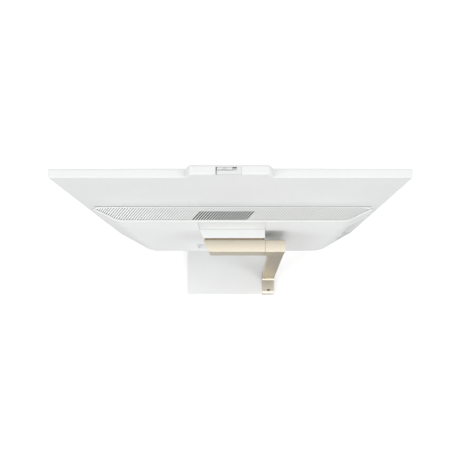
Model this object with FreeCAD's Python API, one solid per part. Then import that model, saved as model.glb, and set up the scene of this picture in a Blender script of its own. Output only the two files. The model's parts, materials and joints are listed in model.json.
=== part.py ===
import FreeCAD, Part
import math
import os

os.makedirs("parts", exist_ok=True)

V = FreeCAD.Vector

# ---------------------------------------------------------------- dimensions
# Millimetres. +Z up, the screen faces -Y, X runs along the screen.
SCREEN_HALF_W = 270.0      # half width of the display
SCREEN_Z0 = 72.0           # bottom edge of the display over the desk
SCREEN_Z1 = 400.0          # top edge of the display
FRONT_Y = -47.5            # front face of the bezel
SPLIT_Y = -44.5            # parting line of bezel and housing
PANEL_REAR_Y = -33.8       # rear face of the thin display panel
WALL = 2.2                 # moulded wall
REAR_ROUND = 1.8           # rounding of the display's rear edge
GLASS_HALF_W = 264.0       # bezel opening
GLASS_Z0 = 92.5
GLASS_Z1 = 390.5

BUMP_RISE = 190.0          # height over which the rear shell slopes
LEDGE_Z = 268.0            # vent ledge at the panel
LEDGE_FALL = 0.36          # fall of the vent ledge per mm rearward
LEDGE_FLAT_X = 225.0       # the ledge is level out to here
LEDGE_CURVE_R = 53.2       # radius of its drooping ends
RIB_PITCH_X = 5.12         # spacing of the ribs along X
RIB_ANGLE = 47.0           # lean of the ribs from the Y axis
RIB_GROOVE_W = 1.8
RIB_GROOVE_D = 2.3
GRILLE_T = 3.6

CAM_X = 1.0                # middle of the camera housing on the top edge
CAM_HALF_BASE = 65.4
CAM_HALF_TOP = 57.8
CAM_Z1 = 411.9

AX_Y = 26.8                # tilt axis
AX_Z = 197.5
CAP_Y0 = 15.1
CAP_Y1 = 38.5
CAP_Z0 = 178.0
CAP_Z1 = 217.0
SEAM_X = -62.6             # plane where the cap turns against the leg
SEAM_GAP = 0.4
SHAFT_R = 5.0
SHAFT_CLEAR = 0.05

BASE_X0 = -95.5
BASE_X1 = 120.4
BASE_Y0 = -102.5
BASE_Y1 = 101.8
BASE_Z0 = 1.5
BASE_Z1 = 8.5
FOOT_X0 = -95.5
FOOT_X1 = -66.4
FOOT_Y1 = 102.5
LEG_TOP_X = -70.4          # inner side of the leg under the corner
CORNER_X = -101.4          # outer side of the corner

AUDIO_R = 1.8              # bore of the audio socket

SLOPE = math.degrees(math.atan(16.6 / BUMP_RISE))


# ------------------------------------------------------------------- helpers
def box(x0, x1, y0, y1, z0, z1):
    return Part.makeBox(x1 - x0, y1 - y0, z1 - z0, V(x0, y0, z0))


def cyl(axis, c, r, length):
    d = {"x": V(1, 0, 0), "y": V(0, 1, 0), "z": V(0, 0, 1)}[axis]
    return Part.makeCylinder(r, length, V(*c), d)


def ring(axis, c, r1, r0, length):
    return cyl(axis, c, r1, length).cut(cyl(axis, c, r0, length))


def prism(points, vec):
    pts = [V(*p) for p in points]
    return Part.Face(Part.makePolygon(pts + [pts[0]])).extrude(V(*vec))


def prism_xz(points, y0, y1):
    return prism([(p[0], y0, p[1]) for p in points], (0, y1 - y0, 0))


def prism_yz(points, x0, x1):
    return prism([(x0, p[0], p[1]) for p in points], (x1 - x0, 0, 0))


def prism_xy(points, z0, z1):
    return prism([(p[0], p[1], z0) for p in points], (0, 0, z1 - z0))


def along(shape, axis, test=None):
    """Straight edges of a shape that run along one axis."""
    out = []
    for e in shape.Edges:
        if e.Curve.TypeId != "Part::GeomLine":
            continue
        d = e.Vertexes[-1].Point.sub(e.Vertexes[0].Point)
        comp = {"x": abs(d.x), "y": abs(d.y), "z": abs(d.z)}[axis]
        if comp > 0.999 * d.Length and (test is None or test(e.CenterOfMass)):
            out.append(e)
    return out


def rbox(x0, x1, y0, y1, z0, z1, r, axis):
    b = box(x0, x1, y0, y1, z0, z1)
    return b.makeFillet(r, along(b, axis))


def union(shapes):
    s = shapes[0].fuse(shapes[1:]) if len(shapes) > 1 else shapes[0]
    return s.removeSplitter()


def cut_all(s, tools):
    return s.cut(Part.makeCompound(tools)) if tools else s


def tilt(shape):
    """Lay a shape built on an upright rear face onto the sloped one."""
    s = shape.copy()
    s.rotate(V(0, 7.1, SCREEN_Z0), V(1, 0, 0), SLOPE)
    return s


def save(name, shape):
    shape.exportStep("parts/%s.step" % name)
    print(name, "solids", len(shape.Solids), "valid", shape.isValid(),
          "cm3 %.2f" % (shape.Volume / 1000.0))


# --------------------------------------------------------- rear shell outline
def offset_chain(points, off, front):
    """Offset an open outline inward and end it on the plane Y = front."""
    lines = []
    for (x0, y0), (x1, y1) in zip(points, points[1:]):
        dx, dy = x1 - x0, y1 - y0
        n = math.hypot(dx, dy)
        nx, ny = dy / n, -dx / n
        lines.append(((x0 + nx * off, y0 + ny * off), (dx, dy)))

    def meet(a, b):
        (px, py), (dx, dy) = a
        (qx, qy), (ex, ey) = b
        den = dx * ey - dy * ex
        t = ((qx - px) * ey - (qy - py) * ex) / den
        return (px + dx * t, py + dy * t)

    ends = ((0.0, front), (1.0, 0.0))
    out = [meet(lines[0], ends)]
    for a, b in zip(lines, lines[1:]):
        out.append(meet(a, b))
    out.append(meet(lines[-1], ends))
    return out


def bump_section(z, off, front):
    t = (z - SCREEN_Z0) / BUMP_RISE
    a0 = 269.5 - 6.5 * t
    a1, b1 = 202.0 + 16.5 * t, 3.6 - 15.4 * t
    a2, b2 = 188.0 + 19.5 * t, 7.1 - 16.6 * t
    chain = [(-a0, PANEL_REAR_Y), (-a1, b1), (-a2, b2),
             (a2, b2), (a1, b1), (a0, PANEL_REAR_Y)]
    pts = offset_chain(chain, off, front)
    vs = [V(x, y, z) for x, y in pts]
    return Part.makePolygon(vs + [vs[0]])


def bump_loft(z0, z1, off=0.0, front=PANEL_REAR_Y):
    return Part.makeLoft([bump_section(z0, off, front),
                          bump_section(z1, off, front)], True, True)


def above_ledge(drop=0.0):
    """Everything over the drooping vent ledge, lowered by drop."""
    y0 = PANEL_REAR_Y - 4.0
    z = LEDGE_Z + LEDGE_FALL * 4.0 - drop
    x = LEDGE_FLAT_X
    r = LEDGE_CURVE_R
    a = math.asin(39.0 / r)

    def on_arc(s, ang):
        return V(s * (x + r * math.sin(ang)), y0, z - r + r * math.cos(ang))

    tip = on_arc(1, a)
    slope = math.tan(a)
    far = V(tip.x + 30, y0, tip.z - 30 * slope)
    edges = [
        Part.makeLine(V(-x, y0, z), V(x, y0, z)),
        Part.Arc(V(x, y0, z), on_arc(1, a / 2), tip).toShape(),
        Part.makeLine(tip, far),
        Part.makeLine(far, V(far.x, y0, 340)),
        Part.makeLine(V(far.x, y0, 340), V(-far.x, y0, 340)),
        Part.makeLine(V(-far.x, y0, 340), V(-far.x, y0, far.z)),
        Part.makeLine(V(-far.x, y0, far.z), V(-tip.x, y0, tip.z)),
        Part.Arc(V(-tip.x, y0, tip.z), on_arc(-1, a / 2), V(-x, y0, z)).toShape(),
    ]
    face = Part.Face(Part.Wire(edges))
    run = 60.0
    return face.extrude(V(0, run, -run * LEDGE_FALL))


OVER = above_ledge()

# =============================================================== stand, fixed
# Leg: square corner at the top, slanting leg, foot that thins to the desk.
leg_fall = (62.5 - CAP_Y1) / (CAP_Z0 - 20.0)
front_foot_y = 24.3 + leg_fall * (CAP_Z0 - BASE_Z1)


def p(y, z):
    return V(-110, y, z)


leg_edges = [
    Part.makeLine(p(24.3, CAP_Z0), p(CAP_Y0, CAP_Z0)),
    Part.makeLine(p(CAP_Y0, CAP_Z0), p(CAP_Y0, CAP_Z1)),
    Part.makeLine(p(CAP_Y0, CAP_Z1), p(CAP_Y1, CAP_Z1)),
    Part.makeLine(p(CAP_Y1, CAP_Z1), p(CAP_Y1, CAP_Z0)),
    Part.makeLine(p(CAP_Y1, CAP_Z0), p(62.5, 20.0)),
    Part.Arc(p(62.5, 20.0), p(64.9, 14.1), p(70.5, 11.4)).toShape(),
    Part.makeLine(p(70.5, 11.4), p(90.0, 9.7)),
    Part.Arc(p(90.0, 9.7), p(97.6, 7.3), p(FOOT_Y1, 2.1)).toShape(),
    Part.makeLine(p(FOOT_Y1, 2.1), p(FOOT_Y1, BASE_Z0)),
    Part.makeLine(p(FOOT_Y1, BASE_Z0), p(front_foot_y, BASE_Z0)),
    Part.makeLine(p(front_foot_y, BASE_Z0), p(front_foot_y, BASE_Z1)),
    Part.makeLine(p(front_foot_y, BASE_Z1), p(24.3, CAP_Z0)),
]
leg = Part.Face(Part.Wire(leg_edges)).extrude(V(60, 0, 0))
seam_leg_x = SEAM_X - SEAM_GAP / 2
leg_side = prism_xz([
    (seam_leg_x, 230), (seam_leg_x, CAP_Z0), (LEG_TOP_X, CAP_Z0), (FOOT_X1, 12),
    (FOOT_X1, 0), (FOOT_X0, 0), (FOOT_X0, 12), (CORNER_X, CAP_Z0), (CORNER_X, 230)], -5, 120)
leg = leg.common(leg_side)
leg = leg.makeFillet(1.2, [e for e in leg.Edges
                           if e.BoundBox.XMax < FOOT_X0 + 0.01
                           and e.BoundBox.ZMax > 30 and e.BoundBox.ZMin > 11.0
                           and e.BoundBox.YMin > 30]
                     + along(leg, "x", lambda c: c.z > 216 or abs(c.y - CAP_Y1) < 0.1 and c.z > 216))
# pocket over the steel base plate, shaft bore, screw holes and lock slot
leg_cuts = [
    box(-91.2, -60, 0, 97.2, 0, 4.5),
    cyl("x", (-98.0, AX_Y, AX_Z), 6.02, 60),
    box(-85.5, -78.5, 90.4, 93.6, 0, 20),
]
foot_screws = [(-74.0, 57.0), (-88.0, 57.0), (-81.0, 72.0)]
for sx, sy in foot_screws:
    leg_cuts.append(cyl("z", (sx, sy, 4.0), 1.62, 5.0))
leg = cut_all(leg, leg_cuts)
save("stand_leg", leg)

# Steel plate inside the base, holding the foot.
weight = rbox(-91.0, 118.0, -98.0, 97.0, BASE_Z0, 4.5, 3.0, "z")
cover_screws = [(-80.0, -85.0), (105.0, -85.0), (105.0, 84.0)]
w_cuts = [box(-88, -76, 87.5, 96.0, 0, 6)]
for sx, sy in foot_screws + cover_screws:
    w_cuts.append(cyl("z", (sx, sy, 1.0), 1.75, 5.0))
    w_cuts.append(cyl("z", (sx, sy, 1.0), 3.3, 1.9))
weight = cut_all(weight, w_cuts)
save("base_weight", weight)

# White cover of the base with a corner cut out for the foot.
cover = rbox(BASE_X0, BASE_X1, BASE_Y0, BASE_Y1, BASE_Z0, BASE_Z1, 2.0, "z")
top_edges = [e for e in cover.Edges if e.BoundBox.ZMin > BASE_Z1 - 0.01]
cover = cover.makeFillet(0.9, top_edges)
cover = cut_all(cover, [
    box(-91.2, 118.2, -98.2, 97.2, 0, 4.5),
    box(-110, FOOT_X1 + 0.15, front_foot_y - 0.15, 110, 0, 20),
])
cover = cut_all(cover, [cyl("z", (sx, sy, 4.0), 1.62, 3.0) for sx, sy in cover_screws])
save("base_plate", cover)


def screw(x, y):
    s = cyl("z", (x, y, 1.6), 3.1, 1.3)
    s = s.fuse(cyl("z", (x, y, 2.9), 1.6, 3.9 if (x, y) in cover_screws else 5.6))
    return s.cut(cyl("z", (x, y, 1.0), 1.2, 1.3))


save("base_screws", Part.makeCompound([screw(*q) for q in foot_screws + cover_screws]))

feet = [rbox(-60 + 0, -20, -94, -86, 0, BASE_Z0, 3.9, "z"),
        rbox(50, 90, -94, -86, 0, BASE_Z0, 3.9, "z"),
        rbox(50, 90, 86, 94, 0, BASE_Z0, 3.9, "z"),
        rbox(-60, -20, 86, 94, 0, BASE_Z0, 3.9, "z"),
        rbox(-90, -82, 38, 50, 0, BASE_Z0, 3.9, "z"),
        rbox(-90, -82, -60, -40, 0, BASE_Z0, 3.9, "z")]
save("rubber_feet", Part.makeCompound(feet))

# Shaft fixed in the corner of the leg; it carries the tilting head.
shaft = union([
    cyl("x", (-97.8, AX_Y, AX_Z), 6.0, 97.8 - 63.2),
    cyl("x", (-63.4, AX_Y, AX_Z), SHAFT_R, 63.4 + 31.6),
    cyl("x", (31.4, AX_Y, AX_Z), 4.0, 10.6),
])
save("hinge_shaft", shaft)
washers = [ring("x", (-61.4, AX_Y, AX_Z), 8.6, SHAFT_R + 0.03, 1.2),
           ring("x", (-59.9, AX_Y, AX_Z), 8.2, SHAFT_R + 0.03, 1.2),
           ring("x", (28.3, AX_Y, AX_Z), 8.2, SHAFT_R + 0.03, 1.2),
           ring("x", (29.8, AX_Y, AX_Z), 8.6, SHAFT_R + 0.03, 1.2)]
save("friction_washers", Part.makeCompound(washers))
hexa = [(AX_Y + 7.6 * math.cos(math.radians(60 * i)),
         AX_Z + 7.6 * math.sin(math.radians(60 * i))) for i in range(6)]
nut = prism_yz(hexa, 31.9, 38.9).cut(cyl("x", (31, AX_Y, AX_Z), 4.03, 9))
save("hinge_nut", nut)

# ========================================================== tilting head: hinge
# Outline seen from above: straight at the seam, slanted at the far end.


def slant_x(y):
    """X of the slanted end at a given Y; it is straight across the groove."""
    if y < CAP_Y0:
        return 59.1 + 0.43 * max(0.0, 11.0 - y)
    return 59.1 - 0.436 * (y - CAP_Y0)


cap_x0 = SEAM_X + SEAM_GAP / 2
cap = prism_xy([(cap_x0, CAP_Y0), (slant_x(CAP_Y0), CAP_Y0),
                (slant_x(CAP_Y1), CAP_Y1), (cap_x0, CAP_Y1)], CAP_Z0, CAP_Z1)
cap = cap.makeFillet(0.8, [e for e in cap.Edges if e.BoundBox.XMax > cap_x0 + 0.1])
inner = prism_xy([(cap_x0 - 1, CAP_Y0 + 2.2), (slant_x(CAP_Y0) - 3.2, CAP_Y0 + 2.2),
                  (slant_x(CAP_Y1) - 3.2, CAP_Y1 - 2.2), (cap_x0 - 1, CAP_Y1 - 2.2)],
                 CAP_Z0 + 2.2, CAP_Z1 - 2.2)
cap = cap.cut(inner)
cap = cap.cut(box(cap_x0 - 1, 47.0, CAP_Y0 - 1, CAP_Y0 + 3, 187, 208))
save("hinge_cap", cap)

spacer = prism_xy([(-58.8, 11.0), (slant_x(11.0) - 2.6, 11.0),
                   (slant_x(CAP_Y0) - 2.6, CAP_Y0), (-58.8, CAP_Y0)], 181, 214)
spacer = spacer.cut(box(-58.0, 47.0, 10, 16, 187, 208))
save("hinge_spacer", spacer)

BUMP_OUT = bump_loft(SCREEN_Z0, 274.0)
neck = prism_xy([(-61.6, -12.0), (slant_x(-12.0), -12.0),
                 (slant_x(11.0), 11.0), (-61.6, 11.0)], CAP_Z0, CAP_Z1)
neck = neck.makeFillet(0.8, [e for e in neck.Edges if e.BoundBox.YMax > 10.9])
rear_solid = tilt(box(-120, 120, -60, 7.1, 60, 300))
neck = neck.cut(rear_solid)
neck = neck.cut(box(-58.0, 47.0, -20, 20, 187, 208))
save("hinge_neck", neck)

bracket = [box(-56, 50, -13, -10, 177, 216)]
for x0, x1 in ((-58.0, -42.0), (12.0, 28.0)):
    bracket.append(box(x0 if x0 > 0 else -57.5, x1, -12, AX_Y, 192, 203))
    bracket.append(cyl("x", (x0, AX_Y, AX_Z), 9.0, x1 - x0))
bracket = union(bracket)
hinge_bosses = [(-34.0, 183.0), (4.0, 183.0), (-34.0, 210.5), (4.0, 210.5)]
bracket = cut_all(bracket, [cyl("x", (-60, AX_Y, AX_Z), SHAFT_R + SHAFT_CLEAR, 100)]
                  + [cyl("y", (x, -14, z), 1.8, 6) for x, z in hinge_bosses])
save("hinge_bracket", bracket)

# ======================================================= tilting head: housing
def outline(y0, y1):
    b = rbox(-SCREEN_HALF_W, SCREEN_HALF_W, y0, y1, SCREEN_Z0, SCREEN_Z1, 4.0, "y")
    c = prism_xz([(CAM_X - CAM_HALF_BASE, SCREEN_Z1 - 6), (CAM_X - CAM_HALF_BASE, SCREEN_Z1),
                  (CAM_X - CAM_HALF_TOP, CAM_Z1), (CAM_X + CAM_HALF_TOP, CAM_Z1),
                  (CAM_X + CAM_HALF_BASE, SCREEN_Z1), (CAM_X + CAM_HALF_BASE, SCREEN_Z1 - 6)],
                 y0, y1)
    s = b.fuse(c).removeSplitter()
    return s.makeFillet(1.2, along(s, "y", lambda q: q.z > SCREEN_Z1 + 5))


bezel = outline(FRONT_Y, SPLIT_Y)
bezel = bezel.makeFillet(2.0, [e for e in bezel.Edges
                               if e.BoundBox.YMax < FRONT_Y + 0.01])
bezel = cut_all(bezel, [
    rbox(-GLASS_HALF_W, GLASS_HALF_W, FRONT_Y - 1, SPLIT_Y + 1, GLASS_Z0, GLASS_Z1, 0.8, "y"),
    box(-266.7, 266.7, -45.8, SPLIT_Y + 1, 87.9, 394.9),
    box(-17.0, 17.0, FRONT_Y - 1, -46.2, 400.3, 408.6),
    cyl("y", (0, -47, 404.5), 3.4, 4),
    cyl("y", (-38, -48, 404.5), 0.6, 5),
    cyl("y", (38, -48, 404.5), 0.6, 5),
])
save("front_bezel", bezel)
save("camera_window", rbox(-16.9, 16.9, -47.35, -46.2, 400.4, 408.5, 1.0, "y"))
save("display_glass", rbox(-263.85, 263.85, -47.1, -45.8, 92.65, 390.35, 0.6, "y"))
lcd = rbox(-266.4, 266.4, -45.8, -40.3, 88.2, 394.6, 1.0, "y")
lcd = cut_all(lcd, [box(-230, 230, -40.8, -40, 110, 240), box(-230, 230, -40.8, -40, 260, 372)])
save("lcd_module", lcd)

housing = outline(SPLIT_Y, PANEL_REAR_Y)
housing = housing.makeFillet(REAR_ROUND, [e for e in housing.Edges
                                   if e.BoundBox.YMin > PANEL_REAR_Y - 0.01])
housing = cut_all(housing, [
    box(-267.6, 267.6, SPLIT_Y - 1, -36.0, 74.4, 397.6),
    box(-222, 248, -37, PANEL_REAR_Y + 1, 84, 246),
])
housing = cut_all(housing, [
    box(-50, 50, SPLIT_Y - 1, -36.0, 396, 407.2),
    box(-17.2, 20.7, -44.4, PANEL_REAR_Y + 1, 409.0, 420),
    box(-17.2, 20.7, SPLIT_Y - 1, -43.4, 407.0, 410),
    cyl("z", (240, -40.25, 70), 4.15, 6),
])
housing = union([housing, box(225.8, 227.8, -44.4, -36, 74.4, 84.0),
                 box(252.2, 254.2, -44.4, -36, 74.4, 84.0)])
save("panel_housing", housing)

trim = box(-17.0, 19.2, -44.3, PANEL_REAR_Y, 409.05, CAM_Z1)
trim = cut_all(trim, [box(-9.8, 20, -46, -39.4, 409.8, 413),
                      box(-9.8, 20, -46, -43.4, 409, 413)])
save("shutter_trim", trim)

shutter = union([
    rbox(-3.6, 19.0, -44.2, -40.5, 409.95, 411.3, 0.6, "z"),
    box(-2.0, 17.0, -44.2, -43.6, 406.0, 411.0),
    box(-12.0, 17.0, -44.2, -43.6, 399.4, 406.8),
]).cut(cyl("y", (0, -46, 404.5), 2.7, 4))
shutter = cut_all(shutter, [box(x, x + 0.8, -44.0, -41.2, 411.0, 412) for x in (4.0, 6.0, 8.0, 10.0)])
save("privacy_shutter", shutter)

cam = union([box(-28, 28, -38.6, -37.6, 399.0, 406.8),
             box(-5, 5, -41.0, -38.6, 400.0, 406.9),
             cyl("y", (0, -43.0, 404.5 - 0.9), 2.8, 2.4),
             box(12, 18, -39.8, -38.6, 401, 405)])
cam = cam.cut(cyl("y", (0, -44, 403.6), 2.1, 1.6))
save("camera_module", cam)
save("camera_lens", cyl("y", (0, -43.0, 403.6), 2.05, 0.6))

# ==================================================== tilting head: rear shell
shell = bump_loft(SCREEN_Z0, 274.0, 0.0, PANEL_REAR_Y - 3.5).cut(OVER)
# soft bends down the back, then rounded upper and lower rear edges
shell = shell.makeFillet(30.0, [e for e in shell.Edges
                                if min(v.Point.y for v in e.Vertexes) > PANEL_REAR_Y + 1
                                and e.BoundBox.ZMin < SCREEN_Z0 + 1 and e.BoundBox.ZMax > 200])
shell = shell.makeFillet(1.8, [e for e in shell.Edges
                               if e.BoundBox.ZMin > 200 and e.BoundBox.YMax > PANEL_REAR_Y + 1])
shell = shell.makeFillet(1.8, [e for e in shell.Edges
                               if e.BoundBox.ZMax < SCREEN_Z0 + 0.01
                               and e.BoundBox.YMax > PANEL_REAR_Y + 1])
shell = shell.cut(box(-300, 300, -60, PANEL_REAR_Y, 60, 300))
# the two sharp tips of the ledge are blunted
for side in (-1, 1):
    shell = shell.cut(prism_xz([(side * 264.5, 246), (side * 272, 246),
                                (side * 272, 264), (side * 255.5, 264)], -50, -20))
cavity = bump_loft(SCREEN_Z0 + 2.4, 276.0, WALL, PANEL_REAR_Y - 1.0)
shell = shell.cut(cavity)
inside = bump_loft(SCREEN_Z0 + 0.2, 276.0, 0.4, PANEL_REAR_Y)

# step for the side sockets
side_box = box(-268, -225.8, PANEL_REAR_Y, 20, 76.6, 204.4).common(inside)
# bay for the rear sockets
def bay(grow, y0):
    """Socket bay with slanted end walls, grown by a wall on every side."""
    body = prism_yz([(y0, 97.0 - grow * 1.4), (y0, 125.0 + grow), (20, 125.0 + grow),
                     (20, 89.0 - grow), (4.0, 91.5 - grow * 1.6)], -100, 100)
    ends = prism_xy([(-73.0 - grow, -20), (-73.0 - grow, y0), (-83.0 - grow, 1.0), (-83.0 - grow, 25),
                     (83.0 + grow, 25), (83.0 + grow, 1.0), (73.0 + grow, y0), (73.0 + grow, -20)],
                    60, 160)
    return body.common(ends)


bay_out = bay(2.2, -16.2).common(inside)
# seat behind the cover plate
seat = tilt(box(-66, 70, 7.1 - 4.6, 7.1 - 0.5, 217.5, 257.0)).common(inside)
shell = shell.fuse([side_box, bay_out, seat])
side_cut = box(-280, -228.0, PANEL_REAR_Y - 1, 20, 79.0, 202.0)
bay_cut = bay(0.0, -14.0)
shell = shell.cut(side_cut).cut(bay_cut)
shell = shell.cut(tilt(rbox(-62.6, 66.1, 7.1 - 2.2, 9, 217.2, 256.6, 1.2, "y")))
# floor of the side step: a groove along its outer edge, then a notched lip
lip_zone = box(-280, -229.0, PANEL_REAR_Y + 1.2, 20, 70, 90)
step_groove = bump_loft(77.6, 80.0, 3.0).cut(bump_loft(77.0, 81.0, 4.2)).common(lip_zone)
lip = bump_loft(78.4, 80.0, 0.9).cut(bump_loft(77.0, 81.0, 2.5)).common(lip_zone)
notches = []
for i in range(14):
    bar = box(-0.8, 0.8, -6, 6, 78.0, 80.5)
    bar.rotate(V(0, 0, 0), V(0, 0, 1), -RIB_ANGLE)
    bar.translate(V(-268.0 + i * 3.2, -33.0 + i * 1.78, 0))
    notches.append(bar)
shell = shell.cut(step_groove).cut(lip.common(Part.makeCompound(notches)))
# openings for the hinge arms and their screws
shell = cut_all(shell, [box(-59, -41, -15, 5, 190.5, 204.5),
                        box(11, 29, -15, 5, 190.5, 204.5)])

# sockets in the bay wall: name, centre x, width, height
REAR_Z = 111.0
usb_x = (24.3, 8.1, -8.1, -24.3)
hdmi_x = (-42.5, -61.0)
LAN_X = 44.5
DC_X = 62.5
rear_holes = [box(LAN_X - 8.0, LAN_X + 8.0, -17, -13, REAR_Z - 7.0, REAR_Z + 7.0),
              box(DC_X - 5.6, DC_X + 5.6, -17, -13, REAR_Z - 5.6, REAR_Z + 5.6)]
rear_holes += [box(x - 7.6, x + 7.6, -17, -13, REAR_Z - 4.1, REAR_Z + 4.1) for x in usb_x]
rear_holes += [box(x - 8.4, x + 8.4, -17, -13, REAR_Z - 3.9, REAR_Z + 3.9) for x in hdmi_x]
SIDE_Y = -24.0
side_a_z = (181.0, 160.0)
side_holes = [box(-229, -225, SIDE_Y - 3.6, SIDE_Y + 3.6, z - 7.3, z + 7.3) for z in side_a_z]
side_holes += [box(-229, -225, SIDE_Y - 2.3, SIDE_Y + 2.3, 135.3, 144.7),
               cyl("x", (-229, SIDE_Y, 121.0), 3.4, 4)]
# air intake and speaker slots in the underside
under = []
for i in range(-27, 28):
    x = i * RIB_PITCH_X
    under.append(box(x - 1.0, x + 1.0, -26, -10, 71, 75.5))
for i in range(9):
    for s in (-1, 1):
        x = s * (166 + i * RIB_PITCH_X)
        under.append(box(x - 1.0, x + 1.0, -28, -16, 71, 75.5))
shell = cut_all(shell, rear_holes + side_holes)
shell = cut_all(shell, under)
save("rear_shell", shell)

plate = tilt(rbox(-62.1, 65.6, 7.1 - 2.2, 7.1, 217.7, 256.1, 1.0, "y"))
normal = V(0, math.cos(math.radians(SLOPE)), math.sin(math.radians(SLOPE)))
level = V(0, 7.1, SCREEN_Z0).dot(normal)
plate = plate.makeFillet(0.5, [e for e in plate.Edges
                               if all(abs(v.Point.dot(normal) - level) < 0.01 for v in e.Vertexes)])
save("hinge_cover_plate", plate)

# Vent grille on the ledge: diagonal ribs, a row of them open for the exhaust.
slab = above_ledge(GRILLE_T).cut(OVER)
grille_in = bump_loft(200.0, 276.0, WALL + 0.45, PANEL_REAR_Y)
grille = grille_in.common(slab)
upper = above_ledge(RIB_GROOVE_D).cut(above_ledge(-1.0))
mid_y = -18.6
bars, slots = [], []
for i in range(-60, 58):
    x = 18.05 + (i + 0.5) * RIB_PITCH_X
    bar = box(-RIB_GROOVE_W / 2, RIB_GROOVE_W / 2, -26, 26, 225, 285)
    bar.rotate(V(0, 0, 0), V(0, 0, 1), -RIB_ANGLE)
    bar.translate(V(x, mid_y, 0))
    bars.append(bar)
    if -10 <= i <= 9:
        slots.append(bar)
groove_zone = upper.common(bump_loft(200.0, 276.0, WALL - 1.0, PANEL_REAR_Y + 1.9))
grooves = Part.makeCompound(bars).common(groove_zone)
slot_zone = bump_loft(200.0, 276.0, WALL + 0.7, -25.6)
through = Part.makeCompound(slots).common(slot_zone)
grille = grille.cut(grooves).cut(through)
save("vent_grille", grille)

# ===================================================== tilting head: internals
frame = box(-262, 262, -40.3, -39.2, 90, 392)
frame = cut_all(frame, [box(-250, -130, -41, -39, 262, 380), box(-118, -6, -41, -39, 262, 380),
                        box(6, 118, -41, -39, 262, 380), box(130, 250, -41, -39, 262, 380),
                        box(120, 240, -41, -39, 185, 246), box(-240, -165, -41, -39, 120, 240)])
board_posts = [(-145.0, 92.0), (87.0, 92.0), (-145.0, 228.0), (8.0, 228.0), (87.0, 125.0)]
frame = union([frame] + [cyl("y", (x, -39.4, z), 2.8, 5.9) for x, z in board_posts])
frame = cut_all(frame, [cyl("y", (x, -38, z), 1.25, 6) for x, z in board_posts])
save("mid_frame", frame)

board = prism_xz([(-150, 86), (92, 86), (92, 130), (14, 130), (14, 234), (-150, 234)], -33.5, -31.9)
board = cut_all(board, [cyl("y", (x, -34, z), 1.6, 4) for x, z in board_posts])
chips = [box(-60, -46, -31.9, -30.9, 160, 174), box(-34, -24, -31.9, -30.6, 205, 217),
         box(-120, -106, -31.9, -30.9, 104, 118), box(40, 52, -31.9, -30.9, 90, 98),
         box(-10, 12, -31.9, -27.9, 132, 140)]
for i in range(5):
    chips.append(cyl("y", (-62 + i * 8, -31.9, 225), 2.6, 5.0))
save("motherboard", union([board] + chips))


def pan_screw(x, z, y):
    s = cyl("y", (x, y, z), 2.6, 1.6).fuse(cyl("y", (x, y - 5.5, z), 1.2, 5.6))
    return s.cut(cyl("y", (x, y + 0.8, z), 1.0, 1.0))


save("motherboard_screws", Part.makeCompound([pan_screw(x, z, -31.9) for x, z in board_posts]))

cpu = union([box(-20, 17.5 - 5, -31.9, -31.1, 148, 186), box(-12, 4, -31.1, -30.4, 158, 176)])
save("cpu_package", cpu)
cold = rbox(-20, 12, -30.4, -28.4, 150, 184, 2.0, "y")
save("cold_plate", cold)
pipe = union([box(-9, -1, -28.4, -24.4, 153, 251), box(-9, 84, -28.4, -24.4, 243, 251)])
pipe = pipe.makeFillet(3.5, along(pipe, "y", lambda q: q.x > 80 or q.z < 160 or (q.x < -8.9 and q.z > 250)))
save("heat_pipe", pipe)
fins = [box(-18, 88, -31.0, -29.8, 239, 254.5)]
for i in range(27):
    x = -17.5 + i * 4.0
    fins.append(box(x, x + 0.6, -29.9, -15.0, 239, 254.5))
fins.append(box(-18, 88, -15.4, -14.6, 239, 254.5))
fins = union(fins).cut(box(-30, 100, -28.45, -24.35, 242.95, 251.05))
fins = fins.cut(box(-9.05, -0.95, -28.45, -24.35, 238, 244))
save("heatsink_fins", fins)

FAN_X, FAN_Z = 54.0, 196.0
vol_out = cyl("y", (FAN_X, -33.0, FAN_Z), 37.5, 12.0).fuse(
    box(FAN_X - 37.5, FAN_X + 37.5, -33.0, -21.0, FAN_Z, 238.4))
vol_in = cyl("y", (FAN_X, -31.8, FAN_Z), 36.3, 12.0).fuse(
    box(FAN_X - 36.3, FAN_X + 36.3, -31.8, -20.0, FAN_Z, 240))
fan_h = vol_out.cut(vol_in).removeSplitter()
fan_h = fan_h.fuse(cyl("y", (FAN_X, -32, FAN_Z), 1.5, 6.0))
fan_h = fan_h.fuse(ring("y", (FAN_X, -32, FAN_Z), 9.0, 7.4, 3.0)).removeSplitter()
save("blower_housing", fan_h)
fan_c = cyl("y", (FAN_X, -21.0, FAN_Z), 37.5, 0.8).fuse(
    box(FAN_X - 37.5, FAN_X + 37.5, -21.0, -20.2, FAN_Z, 238.4)).removeSplitter()
fan_c = fan_c.cut(cyl("y", (FAN_X, -22, FAN_Z), 23.0, 3))
save("blower_cover", fan_c)
rotor = [cyl("y", (FAN_X, -27.5, FAN_Z), 11.5, 5.5),
         ring("y", (FAN_X, -28.2, FAN_Z), 11.5, 10.0, 3.0),
         ring("y", (FAN_X, -26.5, FAN_Z), 31.0, 29.8, 1.0)]
for i in range(22):
    blade = box(10.8, 31.0, -0.35, 0.35, 0, 1)
    b = Part.makeBox(20.4, 8.0, 0.7, V(10.6, -30.0, -0.35))
    b.rotate(V(10.6, 0, 0), V(0, 1, 0), 22)
    b.rotate(V(0, 0, 0), V(0, 1, 0), i * 360.0 / 22)
    b.translate(V(FAN_X, 0, FAN_Z))
    rotor.append(b)
rotor = union(rotor).common(cyl("y", (FAN_X, -30.4, FAN_Z), 33.0, 8.8))
rotor = rotor.cut(cyl("y", (FAN_X, -31, FAN_Z), 1.55, 5.5))
save("blower_impeller", rotor)

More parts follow.
